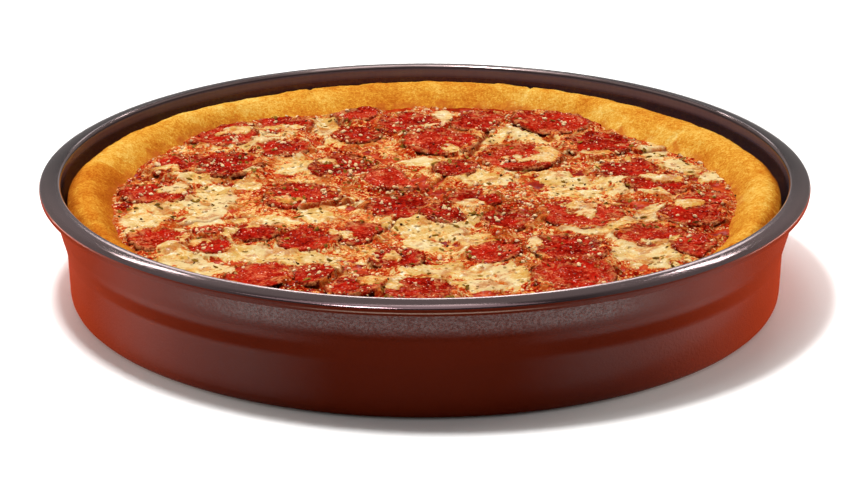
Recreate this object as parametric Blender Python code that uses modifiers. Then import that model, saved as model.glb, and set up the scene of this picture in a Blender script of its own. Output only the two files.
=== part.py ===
"""A deep dish pizza in its own round pan.

The pan is one spun shell with a rolled flange and a stacking step in its wall.  The dough fills it
almost to the rim, rises into an uneven crust round the edge and carries a layer of sauce, a layer of
melted cheese and the pepperoni slices.  Eight wheel cuts leave shallow creases.
Metres, +Z up, origin at the middle of the pan's underside.
"""

import math

import bmesh
import bpy
from mathutils import Vector

MM = 0.001

# Pan: a spun shell, measured on its outside.
RIM_RADIUS = 165.0 * MM
PAN_HEIGHT = 53.0 * MM
SHEET = 1.5 * MM
LIP_RADIUS = 1.05 * MM
FLANGE_DISH = 0.4 * MM
FLANGE_BEND = 0.3 * MM
NECK_RADIUS = 157.3 * MM
UPPER_WALL_RADIUS = 157.0 * MM
UPPER_WALL_FOOT = 35.0 * MM
STEP_RADIUS = 153.9 * MM
STEP_HEIGHT = 22.5 * MM
LOWER_WALL_RADIUS = 153.0 * MM
CORNER_RADIUS = 5.5 * MM
PAN_SEGMENTS = 64

# Dough: heights are above the surface that the pan stands on.
GAP = 0.4 * MM
WELL_FLOOR = 37.0 * MM
TOPPING_LEVEL = 41.5 * MM
CRUST_TOP = 48.6 * MM
CRUST_SHOULDER = 4.5 * MM
CRUST_PEAK_SHARE = 0.62
CRUST_BROW = 0.72
CRUST_BROW_DROP = 0.30
CRUST_SLOPE_SHARES = (0.62, 0.30)
CRUST_SLOPE_ROUNDING = 1.15
WELL_SLOPE = 2.0 * MM
CREASE_DEPTH = 1.2 * MM
CREASE_WIDTH = 2.6 * MM
CUT_AZIMUTHS = (31.0, 70.0, 112.0, 170.0, 201.5, 251.0, 299.0, 347.0)
UNIFORM_AZIMUTHS = 40
CREASE_OFFSET = 2.0

# The crust's edges wander: each pair is an azimuth in degrees and a radius or height in millimetres.
CRUST_OUTER_RADII = ((0, 152.5), (45, 147.5), (90, 151.0), (135, 148.5), (180, 153.0), (270, 152.5))
CRUST_INNER_RADII = (
    (0, 133.5), (18, 130.0), (40, 122.5), (62, 131.0), (90, 127.5), (112, 122.5), (134, 131.5),
    (160, 130.5), (188, 134.0), (208, 139.0), (222, 141.5), (270, 141.0), (318, 141.5),
    (332, 138.5), (346, 133.5),
)
CRUST_RISE = (
    (0, 0.0), (30, 0.6), (75, -0.4), (105, -0.5), (150, 0.5), (195, 0.0), (216, -3.8),
    (324, -3.8), (345, -0.2),
)

# Layers in the well.
SAUCE_TOP = 39.6 * MM
LAYER_RINGS = (0.30, 0.58, 0.82)
WAVE = 0.35 * MM
WAVE_LENGTH = 62.0 * MM
WAVE_PHASES = (0.6, 1.9)
WAVE_SKEWS = (0.8, 0.7)
WAVE_CROSS = 0.6
WAVE_EDGE = 135.0 * MM
WAVE_FADE = 30.0 * MM
CHEESE_EDGE_DROP = 0.8 * MM
CHEESE_EDGE_IN = 0.3 * MM
CHEESE_CREASE = 0.6 * MM

# Openings in the cheese that show the sauce: x, y and mean radius in millimetres.
SAUCE_POOLS = (
    (-114, 40, 9.0), (-26, 100, 8.0), (-33, 63, 9.5), (41, -56, 8.0), (80, -88, 7.5), (-70, -33, 9.0),
    (-33, -78, 7.0), (88, -6, 9.5), (8, 108, 6.5), (-43, 14, 7.5), (40, -120, 8.0),
)
POOL_SIDES = 10
POOL_WOBBLE = (0.22, 0.12)
POOL_REACH = 4.0 * MM

# Pepperoni slices, lowest first: x, y, radius and height of the curled edge in millimetres.
SLICE_THICKNESS = 1.5 * MM
SLICE_SIDES = 12
SLICE_INNER_RING = 0.62
SLICE_WOBBLE = (0.035, 0.02)
SLICE_SPREAD = 1.0 + sum(SLICE_WOBBLE)
CURL_POWER = 3
SLICE_GAP = 0.5 * MM
OVERLAP_MARGIN = 4.5 * MM
OVERLAP_FALL = 11.0 * MM
CUT_CLEARANCE = 0.6 * MM
CUT_SHARE = 0.5
CRUST_CLEARANCE = 1.0 * MM
REACH_STEP = 0.4 * MM
LEAST_TOWARD = 0.05
PEPPERONI = (
    (-65, 94, 14.0, 1.0), (-92, 78, 16.0, 0.8), (-89, 37, 18.0, 0.6), (-64, 61, 13.0, 0.5),
    (-36, 32, 16.0, 0.9), (-32, 111, 11.0, 0.8), (-8, 97, 15.0, 0.7), (-31, 79, 11.5, 0.5),
    (-116, -3, 15.5, 1.0), (-111, 32, 12.0, 0.6), (-52, -9, 18.0, 1.2), (-13, 11, 15.0, 0.8),
    (-11, -21, 15.0, 1.0), (26, 98, 15.0, 1.2), (58, 98, 18.0, 0.9), (7, 68, 17.5, 0.8),
    (79, 64, 17.5, 0.9), (42, 47, 19.0, 0.7), (14, 32, 11.0, 0.8), (88, 30, 14.5, 1.0),
    (101, 8, 14.0, 0.9), (120, -12, 11.0, 0.6), (21, -10, 12.0, 0.9), (8, -32, 11.0, 0.9),
    (35, -38, 12.5, 0.6), (66, -30, 19.0, 0.8), (113, -31, 15.0, 0.7), (94, -57, 15.0, 0.9),
    (112, -71, 12.0, 0.8), (58, -74, 18.5, 0.7), (60, -106, 18.0, 0.8), (28, -79, 12.0, 0.8),
    (-2, -122, 14.5, 0.7), (-28, -118, 12.0, 0.8), (-44, -106, 13.0, 0.8), (-66, -106, 14.5, 0.8),
    (-11, -84, 12.0, 0.6), (-29, -54, 13.0, 0.6), (-48, -63, 13.5, 0.7), (-70, -57, 9.5, 0.6),
    (-88, -70, 9.5, 0.5), (-110, -62, 13.5, 0.9), (-90, -53, 7.0, 0.8),
)


def clear_scene():
    """Remove whatever the file holds before the model is made."""
    for obj in list(bpy.data.objects):
        bpy.data.objects.remove(obj, do_unlink=True)


def new_collection(name):
    """Make a collection in the scene."""
    collection = bpy.data.collections.new(name)
    bpy.context.scene.collection.children.link(collection)
    return collection


def new_material(name, colour, roughness, metallic=0.0):
    """Make a Principled material from a linear colour."""
    material = bpy.data.materials.new(name)
    material.use_nodes = True
    shader = material.node_tree.nodes["Principled BSDF"]
    shader.inputs["Base Color"].default_value = (*colour, 1.0)
    shader.inputs["Roughness"].default_value = roughness
    shader.inputs["Metallic"].default_value = metallic
    return material


def new_object(name, mesh, material, collection):
    """Put a mesh into a collection as a named object with its own material."""
    obj = bpy.data.objects.new(name, mesh)
    obj.data.materials.append(material)
    collection.objects.link(obj)
    return obj


def smoothstep(value):
    """Ease a value from 0 to 1."""
    value = min(max(value, 0.0), 1.0)
    return value * value * (3.0 - 2.0 * value)


def around(azimuth, stations):
    """Read a value that eases from one station to the next round the circle."""
    azimuth %= 360.0
    for index, (start, low) in enumerate(stations):
        end, high = stations[(index + 1) % len(stations)]
        if end <= start:
            end += 360.0
        if start <= azimuth <= end:
            return low + (high - low) * smoothstep((azimuth - start) / (end - start))
    return stations[0][1]


def arc(centre, radius, start, end, steps):
    """Points (r, z) on an arc between two angles in degrees."""
    points = []
    for step in range(steps + 1):
        angle = math.radians(start + (end - start) * step / steps)
        points.append((centre[0] + radius * math.cos(angle), centre[1] + radius * math.sin(angle)))
    return points


def pan_profile():
    """The pan's section (r, z), from the middle of its floor over the rim to its underside."""
    corner_r = LOWER_WALL_RADIUS - CORNER_RADIUS
    lip = (RIM_RADIUS - LIP_RADIUS, PAN_HEIGHT - LIP_RADIUS)
    flange_under = PAN_HEIGHT - 2.0 * LIP_RADIUS
    bend_r = NECK_RADIUS + FLANGE_BEND
    profile = [(0.0, SHEET)]
    profile += arc((corner_r, CORNER_RADIUS), CORNER_RADIUS - SHEET, -90.0, 0.0, 2)
    profile.append((STEP_RADIUS - SHEET, STEP_HEIGHT))
    profile.append((UPPER_WALL_RADIUS - SHEET, UPPER_WALL_FOOT))
    profile.append((NECK_RADIUS - SHEET, PAN_HEIGHT - FLANGE_DISH - SHEET))
    profile.append((bend_r - SHEET + FLANGE_BEND, PAN_HEIGHT - FLANGE_DISH - FLANGE_BEND))
    profile.append((bend_r, PAN_HEIGHT - FLANGE_DISH))
    profile += arc(lip, LIP_RADIUS, 90.0, -90.0, 4)
    profile.append((NECK_RADIUS + SHEET, flange_under))
    profile.append((NECK_RADIUS, flange_under - SHEET))
    profile.append((UPPER_WALL_RADIUS, UPPER_WALL_FOOT))
    profile.append((STEP_RADIUS, STEP_HEIGHT))
    profile += arc((corner_r, CORNER_RADIUS), CORNER_RADIUS, 0.0, -90.0, 3)
    profile.append((0.0, 0.0))
    return profile


def pan_inner_radius(height):
    """Radius of the pan's inner wall at a height above its corner."""
    wall = (
        (CORNER_RADIUS, LOWER_WALL_RADIUS),
        (STEP_HEIGHT, STEP_RADIUS),
        (UPPER_WALL_FOOT, UPPER_WALL_RADIUS),
        (PAN_HEIGHT, NECK_RADIUS),
    )
    for (low, low_radius), (high, high_radius) in zip(wall, wall[1:]):
        if height <= high:
            share = max(0.0, (height - low) / (high - low))
            return low_radius + (high_radius - low_radius) * share - SHEET
    return NECK_RADIUS - SHEET


def make_pan(collection):
    """Spin the pan's section into one closed shell."""
    profile = pan_profile()
    mesh = bpy.data.meshes.new("pan")
    edges = [(index, index + 1) for index in range(len(profile) - 1)]
    mesh.from_pydata([(radius, 0.0, height) for radius, height in profile], edges, [])
    material = new_material("pan_metal", (0.060, 0.022, 0.016), 0.34, 0.75)
    pan = new_object("pan", mesh, material, collection)
    screw = pan.modifiers.new("spin", "SCREW")
    screw.steps = PAN_SEGMENTS
    screw.render_steps = PAN_SEGMENTS
    screw.use_merge_vertices = True
    screw.merge_threshold = 0.00001
    screw.use_smooth_shade = True
    return pan


def layer_azimuths():
    """Even azimuths, with three close together at each cut so that the crease has a floor and two banks."""
    banks = (-CREASE_OFFSET, 0.0, CREASE_OFFSET)
    cuts = [(cut + bank) % 360.0 for cut in CUT_AZIMUTHS for bank in banks]
    azimuths = list(cuts)
    for index in range(UNIFORM_AZIMUTHS):
        azimuth = 360.0 * index / UNIFORM_AZIMUTHS
        nearest = min(abs((azimuth - cut + 180.0) % 360.0 - 180.0) for cut in cuts)
        if nearest > CREASE_OFFSET:
            azimuths.append(azimuth)
    return sorted(azimuths)


def crease(radius, azimuth):
    """Share of the full crease depth at a place: 1 on a cut, 0 away from it."""
    nearest = min(abs((azimuth - cut + 180.0) % 360.0 - 180.0) for cut in CUT_AZIMUTHS)
    distance = radius * math.radians(nearest)
    return 1.0 - smoothstep(distance / CREASE_WIDTH)


def loft(name, azimuths, section):
    """Close a body from one section (r, z) for each azimuth, with its two ends on the axis."""
    mesh = bpy.data.meshes.new(name)
    build = bmesh.new()
    rings = []
    for azimuth in azimuths:
        angle = math.radians(azimuth)
        points = section(azimuth)
        ring = [build.verts.new((r * math.cos(angle), r * math.sin(angle), z)) for r, z in points[1:-1]]
        rings.append(ring)
    first = build.verts.new((0.0, 0.0, section(0.0)[0][1]))
    last = build.verts.new((0.0, 0.0, section(0.0)[-1][1]))
    for here, there in zip(rings, rings[1:] + rings[:1]):
        build.faces.new((first, here[0], there[0]))
        build.faces.new((last, there[-1], here[-1]))
        for step in range(len(here) - 1):
            build.faces.new((here[step], here[step + 1], there[step + 1], there[step]))
    bmesh.ops.recalc_face_normals(build, faces=build.faces)
    for face in build.faces:
        face.smooth = True
    build.to_mesh(mesh)
    build.free()
    return mesh


def crust_section(azimuth):
    """The dough's section (r, z) at one azimuth, from its underside round the crust to the well."""
    outer = around(azimuth, CRUST_OUTER_RADII) * MM
    inner = around(azimuth, CRUST_INNER_RADII) * MM
    dent = CREASE_DEPTH * crease(0.5 * (outer + inner), azimuth)
    top = CRUST_TOP + around(azimuth, CRUST_RISE) * MM - dent
    peak = inner + (outer - inner) * CRUST_PEAK_SHARE
    floor = SHEET + GAP
    corner_r = LOWER_WALL_RADIUS - CORNER_RADIUS
    points = [(0.0, floor)]
    points += arc((corner_r - GAP, CORNER_RADIUS), CORNER_RADIUS - SHEET - GAP, -90.0, 0.0, 1)
    points.append((pan_inner_radius(STEP_HEIGHT) - GAP, STEP_HEIGHT))
    points.append((0.5 * (pan_inner_radius(UPPER_WALL_FOOT) + outer), UPPER_WALL_FOOT))
    points.append((outer - 0.5 * dent, top - CRUST_SHOULDER))
    points.append((peak + (outer - peak) * CRUST_BROW, top - CRUST_BROW_DROP * CRUST_SHOULDER))
    points.append((peak, top))
    for share in CRUST_SLOPE_SHARES:
        rise = math.sin(0.5 * math.pi * share) ** CRUST_SLOPE_ROUNDING
        points.append((inner + (peak - inner) * share, TOPPING_LEVEL + (top - TOPPING_LEVEL) * rise))
    points.append((inner, TOPPING_LEVEL))
    points.append((inner - WELL_SLOPE, WELL_FLOOR))
    points.append((0.0, WELL_FLOOR))
    return points


def well_radius(azimuth, height):
    """Radius of the well's wall at a height between its floor and the topping."""
    share = (height - WELL_FLOOR) / (TOPPING_LEVEL - WELL_FLOOR)
    return around(azimuth, CRUST_INNER_RADII) * MM - WELL_SLOPE * (1.0 - share)


def wave(x, y):
    """A low swell that the sauce and the cheese share."""
    turn = 2.0 * math.pi / WAVE_LENGTH
    swell = math.sin(turn * x + WAVE_PHASES[0]) * math.cos(turn * y * WAVE_SKEWS[0])
    swell += WAVE_CROSS * math.sin(turn * (WAVE_SKEWS[1] * x - y) + WAVE_PHASES[1])
    return WAVE * swell * smoothstep((WAVE_EDGE - math.hypot(x, y)) / WAVE_FADE)


def swell_at(radius, azimuth):
    """The swell at a polar place."""
    angle = math.radians(azimuth)
    return wave(radius * math.cos(angle), radius * math.sin(angle))


def sauce_section(azimuth):
    """The sauce's section (r, z): a flat underside on the dough and a gently wavy top."""
    floor = WELL_FLOOR + GAP
    rim = well_radius(azimuth, SAUCE_TOP) - GAP
    points = [(0.0, floor), (well_radius(azimuth, floor) - GAP, floor), (rim, SAUCE_TOP)]
    for share in reversed(LAYER_RINGS):
        points.append((rim * share, SAUCE_TOP + swell_at(rim * share, azimuth)))
    points.append((0.0, SAUCE_TOP + wave(0.0, 0.0)))
    return points


def cheese_section(azimuth):
    """The cheese's section (r, z): its underside follows the sauce and its top has a crease at each cut."""
    floor = SAUCE_TOP + GAP
    rim = well_radius(azimuth, floor) - GAP
    lip = well_radius(azimuth, TOPPING_LEVEL) - GAP - CHEESE_EDGE_IN
    points = [(0.0, floor + wave(0.0, 0.0))]
    for share in LAYER_RINGS:
        points.append((rim * share, floor + swell_at(rim * share, azimuth)))
    points.append((rim, floor))
    points.append((lip, TOPPING_LEVEL - CHEESE_EDGE_DROP))
    for share in reversed(LAYER_RINGS):
        radius = rim * share
        dent = CHEESE_CREASE * crease(radius, azimuth)
        points.append((radius, TOPPING_LEVEL + swell_at(radius, azimuth) - dent))
    points.append((0.0, TOPPING_LEVEL + wave(0.0, 0.0)))
    return points


def wobble(angle, seed, wide, narrow):
    """How far an uneven round outline strays from its mean radius, as a factor."""
    return 1.0 + wide * math.sin(2.0 * angle + seed) + narrow * math.cos(3.0 * angle + 2.0 * seed)


def pool_cutter(index, x, y, radius, collection):
    """A wavy-sided plug that opens the cheese over the sauce."""
    build = bmesh.new()
    low = SAUCE_TOP - POOL_REACH
    high = TOPPING_LEVEL + POOL_REACH
    sizes = {"radius1": radius * MM, "radius2": radius * MM, "depth": high - low}
    bmesh.ops.create_cone(build, cap_ends=True, segments=POOL_SIDES, **sizes)
    for corner in build.verts:
        factor = wobble(math.atan2(corner.co.y, corner.co.x), index, *POOL_WOBBLE)
        corner.co = Vector((corner.co.x * factor, corner.co.y * factor, corner.co.z))
        corner.co += Vector((x * MM, y * MM, 0.5 * (low + high)))
    mesh = bpy.data.meshes.new(f"pool_cutter_{index:02d}")
    build.to_mesh(mesh)
    build.free()
    cutter = bpy.data.objects.new(mesh.name, mesh)
    cutter.hide_render = True
    cutter.display_type = "WIRE"
    collection.objects.link(cutter)
    return cutter


def make_cheese(azimuths, collection, cutters):
    """The melted cheese, open where the sauce shows."""
    material = new_material("melted_cheese", (0.82, 0.60, 0.30), 0.42)
    cheese = new_object("cheese", loft("cheese", azimuths, cheese_section), material, collection)
    for index, (x, y, radius) in enumerate(SAUCE_POOLS):
        cutter = pool_cutter(index, x, y, radius, cutters)
        opening = cheese.modifiers.new(f"pool_{index:02d}", "BOOLEAN")
        opening.operation = "DIFFERENCE"
        opening.object = cutter
    return cheese


def inside_well(place):
    """Whether a place on the topping is clear of the crust."""
    azimuth = math.degrees(math.atan2(place.y, place.x)) % 360.0
    return place.length < around(azimuth, CRUST_INNER_RADII) * MM - CRUST_CLEARANCE


def slice_reach(index, angle):
    """How far a slice reaches from its middle in one direction, short of the crust and of a cut."""
    x, y, radius, _ = PEPPERONI[index]
    centre = Vector((x, y)) * MM
    outward = Vector((math.cos(angle), math.sin(angle)))
    reach = radius * MM * wobble(angle, index, *SLICE_WOBBLE)
    for cut in CUT_AZIMUTHS:
        line = Vector((math.cos(math.radians(cut)), math.sin(math.radians(cut))))
        away = line * centre.dot(line) - centre
        if centre.dot(line) < 0.0 or away.length < CUT_SHARE * radius * MM:
            continue
        toward = outward.dot(away.normalized())
        if toward > LEAST_TOWARD:
            reach = min(reach, (away.length - CUT_CLEARANCE) / toward)
    while reach > REACH_STEP and not inside_well(centre + outward * reach):
        reach -= REACH_STEP
    return reach


def slice_underside(index, x, y):
    """Height of a slice's underside: on the cheese, lifted over lower slices and cupped."""
    centre_x, centre_y, radius, curl = PEPPERONI[index]
    height = TOPPING_LEVEL + wave(x, y) + SLICE_GAP
    for lower in range(index):
        lower_x, lower_y, lower_radius, _ = PEPPERONI[lower]
        span = math.hypot(centre_x - lower_x, centre_y - lower_y)
        if span > (radius + lower_radius) * SLICE_SPREAD:
            continue
        distance = math.hypot(x - lower_x * MM, y - lower_y * MM)
        reach = lower_radius * SLICE_SPREAD * MM + OVERLAP_MARGIN
        lift = smoothstep((reach + OVERLAP_FALL - distance) / OVERLAP_FALL)
        top = slice_underside(lower, x, y) + SLICE_THICKNESS + SLICE_GAP
        height += (top - height) * lift if top > height else 0.0
    share = min(math.hypot(x - centre_x * MM, y - centre_y * MM) / (radius * MM), 1.0)
    return height + curl * MM * share ** CURL_POWER


def slice_ring(build, index, share, lift):
    """One ring of a slice's corners, at a share of its reach."""
    x, y, _, _ = PEPPERONI[index]
    ring = []
    for side in range(SLICE_SIDES):
        angle = 2.0 * math.pi * side / SLICE_SIDES
        reach = slice_reach(index, angle) * share
        place_x = x * MM + reach * math.cos(angle)
        place_y = y * MM + reach * math.sin(angle)
        height = slice_underside(index, place_x, place_y) + lift
        ring.append(build.verts.new((place_x, place_y, height)))
    return ring


def make_slice(index, material, collection):
    """One pepperoni slice: a thin cupped disc with two rings on each face."""
    x, y, _, _ = PEPPERONI[index]
    build = bmesh.new()
    faces = []
    for lift in (0.0, SLICE_THICKNESS):
        height = slice_underside(index, x * MM, y * MM) + lift
        middle = build.verts.new((x * MM, y * MM, height))
        inner = slice_ring(build, index, SLICE_INNER_RING, lift)
        faces.append((middle, inner, slice_ring(build, index, 1.0, lift)))
    (under, under_inner, under_outer), (over, over_inner, over_outer) = faces
    for side in range(SLICE_SIDES):
        after = (side + 1) % SLICE_SIDES
        build.faces.new((under, under_inner[after], under_inner[side]))
        build.faces.new((under_inner[side], under_inner[after], under_outer[after], under_outer[side]))
        build.faces.new((under_outer[side], under_outer[after], over_outer[after], over_outer[side]))
        build.faces.new((over_outer[side], over_outer[after], over_inner[after], over_inner[side]))
        build.faces.new((over, over_inner[side], over_inner[after]))
    bmesh.ops.recalc_face_normals(build, faces=build.faces)
    name = f"pepperoni_{index + 1:02d}"
    mesh = bpy.data.meshes.new(name)
    build.to_mesh(mesh)
    build.free()
    mesh.shade_smooth()
    mesh.set_sharp_from_angle(angle=math.radians(50.0))
    return new_object(name, mesh, material, collection)


def make_pizza():
    """Build the pan, the dough, the layers and the slices."""
    clear_scene()
    parts = new_collection("deep_dish_pizza")
    cutters = new_collection("cutters")
    azimuths = layer_azimuths()
    make_pan(parts)
    dough = new_material("baked_dough", (0.78, 0.40, 0.09), 0.62)
    new_object("crust", loft("crust", azimuths, crust_section), dough, parts)
    sauce = new_material("tomato_sauce", (0.50, 0.07, 0.02), 0.32)
    new_object("sauce", loft("sauce", azimuths, sauce_section), sauce, parts)
    make_cheese(azimuths, parts, cutters)
    for index in range(len(PEPPERONI)):
        pepperoni = new_material(f"pepperoni_{index + 1:02d}", (0.42, 0.035, 0.02), 0.36)
        make_slice(index, pepperoni, parts)


make_pizza()
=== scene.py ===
import math

import bmesh
import bpy
import numpy as np
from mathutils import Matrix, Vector


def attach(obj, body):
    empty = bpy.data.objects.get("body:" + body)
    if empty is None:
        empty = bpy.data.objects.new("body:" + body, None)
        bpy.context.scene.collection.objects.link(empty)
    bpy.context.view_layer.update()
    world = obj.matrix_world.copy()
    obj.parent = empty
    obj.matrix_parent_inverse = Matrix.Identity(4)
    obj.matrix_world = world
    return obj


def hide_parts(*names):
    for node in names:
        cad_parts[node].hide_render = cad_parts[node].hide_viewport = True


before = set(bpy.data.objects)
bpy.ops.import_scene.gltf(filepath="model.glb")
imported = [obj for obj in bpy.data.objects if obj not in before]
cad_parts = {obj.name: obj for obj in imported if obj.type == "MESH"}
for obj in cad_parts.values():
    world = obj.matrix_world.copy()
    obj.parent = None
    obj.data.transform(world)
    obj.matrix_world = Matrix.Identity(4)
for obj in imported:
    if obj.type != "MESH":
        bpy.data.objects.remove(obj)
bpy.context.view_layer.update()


# --------------------
# The pan: one sheet of steel spun into a deep round dish, with a stacking step in its wall and a
# flange rolled out and down at the rim.  Inside and on the flange it has a dark non-stick coat,
# and outside a red-brown enamel with a faint orange-peel grain.

MM = 0.001
PAN_SECTION = (  # radius, height and reach of the rounding, down from inside to outside
    (0.0, 1.5), (151.5, 1.5, 4.0), (152.4, 22.5, 2.0), (155.5, 35.0, 2.0), (155.7, 51.6, 1.2),
    (156.9, 53.0, 0.8), (159.4, 52.85, 1.4), (162.2, 52.2, 1.4), (164.4, 51.3, 1.0), (165.0, 50.4, 0.6),
    (164.6, 48.1, 0.4), (163.8, 48.0, 0.4), (163.3, 50.3, 0.8), (157.9, 50.7, 1.6), (157.3, 48.0, 1.2),
    (157.0, 34.6, 0.6), (153.9, 23.4, 0.8), (153.0, 0.0, 5.0), (0.0, 0.0),
)
PAN_TURNS = 288
FLANGE_EDGE = 164.75 * MM  # where the coat meets the enamel
FLANGE_UNDERSIDE = 50 * MM
LARGEST_ROUNDING = 0.48  # share of a side of the section that one rounding may take
DOUBLES = 1e-7  # corners closer than this (m) are one


def rounded_section(points, steps=5):
    """Corners (radius, height) of a section whose inner points are rounded by their own reach."""
    section = [(points[0][0] * MM, points[0][1] * MM)]
    for before, here, after in zip(points, points[1:], points[2:]):
        corner = Vector(here[:2])
        back, ahead = Vector(before[:2]) - corner, Vector(after[:2]) - corner
        start = corner + back.normalized() * min(here[2], LARGEST_ROUNDING * back.length)
        end = corner + ahead.normalized() * min(here[2], LARGEST_ROUNDING * ahead.length)
        for step in range(steps + 1):
            t = step / steps
            place = start * (1 - t) ** 2 + corner * 2 * t * (1 - t) + end * t * t
            section.append((place.x * MM, place.y * MM))
    section.append((points[-1][0] * MM, points[-1][1] * MM))
    return section


def marked_mesh(name, places, faces, **marks):
    """A mesh with marks: named numbers at its corners, for a finish or a tree to read."""
    mesh = bpy.data.meshes.new(name)
    mesh.from_pydata(np.asarray(places).tolist(), [], faces)
    for label, values in marks.items():
        mark = mesh.attributes.new(label, "FLOAT", "POINT")
        mark.data.foreach_set("value", values.reshape(-1).astype(np.float32))
    return mesh


def close_mesh(name, places, faces, **marks):
    """A smooth closed mesh, with doubles merged and every face turned outwards."""
    mesh = marked_mesh(name, places, faces, **marks)
    build = bmesh.new()
    build.from_mesh(mesh)
    bmesh.ops.remove_doubles(build, verts=build.verts, dist=DOUBLES)
    bmesh.ops.recalc_face_normals(build, faces=build.faces)
    build.to_mesh(mesh)
    build.free()
    mesh.shade_smooth()
    return mesh


def net_faces(net):
    """Squares between neighbours in a net of corner numbers."""
    corners = (net[:-1, :-1], net[:-1, 1:], net[1:, 1:], net[1:, :-1])
    return np.stack(corners, -1).reshape(-1, 4).tolist()


def put(name, data):
    """A new object in the scene."""
    thing = bpy.data.objects.new(name, data)
    bpy.context.scene.collection.objects.link(thing)
    return thing


def place_piece(mesh, material, slot, *nodes):
    """Put a mesh on the part, with its material, its body and the nodes it stands for; the slot is not
    used.
    """
    piece = put(mesh.name, mesh)
    if not mesh.materials:
        mesh.materials.append(material)
    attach(piece, "root")
    if nodes:
        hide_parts(*nodes)


def rgb(red, green, blue):
    """A colour as the eye names it, 0 to 255, as linear light."""
    light = []
    for value in (red, green, blue):
        value /= 255.0
        light.append(value / 12.92 if value <= 0.04045 else ((value + 0.055) / 1.055) ** 2.4)
    return (*light, 1.0)


MOIST = 0.7  # moist food gives back this much of the light that dry paint would


def food(red, green, blue):
    """A food's colour, named as rgb names it."""
    return (*(MOIST * part for part in rgb(red, green, blue)[:3]), 1.0)


class Wire:
    """A node's output, which reckons like a number."""

    def __init__(self, tree, socket):
        self.tree = tree
        self.socket = socket

    def other(self, name):
        """Another output of the same node."""
        return Wire(self.tree, self.socket.node.outputs[name])

    def _sum(self, operation, first, second):
        return self.tree.add("ShaderNodeMath", {"operation": operation}, {0: first, 1: second})

    def __add__(self, other):
        return self._sum("ADD", self, other)

    def __sub__(self, other):
        return self._sum("SUBTRACT", self, other)

    def __rsub__(self, other):
        return self._sum("SUBTRACT", other, self)

    def __mul__(self, other):
        return self._sum("MULTIPLY", self, other)

    def __abs__(self):
        return self._sum("ABSOLUTE", self, 0.0)

    __radd__ = __add__
    __rmul__ = __mul__


class Tree:
    """Nodes that are added one by one, each joined to those before it."""

    def __init__(self, tree):
        self.tree = tree

    def add(self, kind, settings=None, sockets=None, output=0):
        """Add a node: its settings first, then the values or links of its sockets."""
        node = self.tree.nodes.new(kind)
        for key, value in (settings or {}).items():
            if key == "stops":
                ramp = node.color_ramp.elements
                while len(ramp) < len(value):
                    ramp.new(0.5)
                for stop, (at, colour) in zip(ramp, value):
                    stop.position = at
                    stop.color = colour
            else:
                setattr(node, key, value)
        self.join(node, sockets or {})
        return Wire(self, node.outputs[output]) if node.outputs else None

    def join(self, node, sockets):
        """Join a node's sockets to wires, or set them to values."""
        for key, value in sockets.items():
            if isinstance(value, Wire):
                self.tree.links.new(value.socket, node.inputs[key])
            else:
                node.inputs[key].default_value = value


class Recipe(Tree):
    """One finish: a material and the nodes that feed its shader."""

    def __init__(self, name):
        self.material = bpy.data.materials.new(name)
        self.material.use_nodes = True
        super().__init__(self.material.node_tree)
        self.shader = self.tree.nodes["Principled BSDF"]
        self.place = self.add("ShaderNodeTexCoord", output="Object")

    def along(self, axis):
        """Distance along one of the object's own axes."""
        return self.add("ShaderNodeSeparateXYZ", {}, {0: self.place}, axis)

    def noise(self, size, detail=2.0, rough=0.5, warp=0.0, stretch=(1.0, 1.0, 1.0)):
        """Cloudy noise from 0 to 1 with patches about `size` metres across."""
        place = self.add("ShaderNodeVectorMath", {"operation": "MULTIPLY"}, {0: self.place, 1: stretch})
        sockets = {"Vector": place, "Scale": 1.0 / size, "Detail": detail}
        return self.add("ShaderNodeTexNoise", {}, {**sockets, "Roughness": rough, "Distortion": warp})

    def lift(self, value, low, high):
        """Turn a range of a value into an eased 0 to 1."""
        sockets = {"Value": value, "From Min": low, "From Max": high}
        return self.add("ShaderNodeMapRange", {"interpolation_type": "SMOOTHSTEP"}, sockets)

    def band(self, value, start, full, fade, end):
        """1 between `full` and `fade`, and 0 before `start` and after `end`."""
        return self.lift(value, start, full) * (1 - self.lift(value, fade, end))

    def spots(self, apart, edge, full):
        """Round spots about `apart` metres apart: 0 outside `edge` and 1 inside `full` of that."""
        nearest = self.add("ShaderNodeTexVoronoi", {}, {"Vector": self.place, "Scale": 1.0 / apart})
        return self.lift(nearest, edge, full)

    def mark(self, name):
        """One of the mesh's marks."""
        return self.add("ShaderNodeAttribute", {"attribute_name": name}, output="Fac")

    def blend(self, share, first, second):
        """Mix two colours."""
        sockets = {0: share, 6: first, 7: second}
        return self.add("ShaderNodeMix", {"data_type": "RGBA"}, sockets, output=2)

    def stain(self, share, colour, grain, dark, light):
        """Lay a food's grainy colour, from dark to light, over another."""
        return self.blend(share, colour, self.blend(grain, food(*dark), food(*light)))

    def ramp(self, value, paint, *stops):
        """Colours along a value: each stop is its place from 0 to 1 and a colour as paint names it."""
        stops = [(at, paint(*colour)) for at, *colour in stops]
        return self.add("ShaderNodeValToRGB", {"stops": stops}, {0: value})

    def finish(self, colour, roughness, height=None, depth=0.0, **others):
        """Feed the shader, which has no specular level unless one is given."""
        sockets = {"Base Color": colour, "Roughness": roughness, "Specular IOR Level": 0.0}
        sockets.update((name.replace("_", " "), value) for name, value in others.items())
        if height is not None:
            sockets["Normal"] = self.add("ShaderNodeBump", {}, {"Height": height, "Distance": depth})
        self.join(self.shader, sockets)
        return self.material


# Radii (m) of the coat's looks, each from its start to its full strength.
WALL_INSIDE = (0.1558, 0.1555)
WALL_TOP_LIGHT = (0.156, 0.1556)
CREST_START = (0.1559, 0.1563)
CREST_END = (0.1566, 0.157)
ROLL_SHADE = (0.162, 0.1638)
EDGE_HIGHLIGHT = (0.16465, 0.1649)
CREST_SPREAD = 0.0014  # the crest's painted highlight is this much wider in the middle
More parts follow.
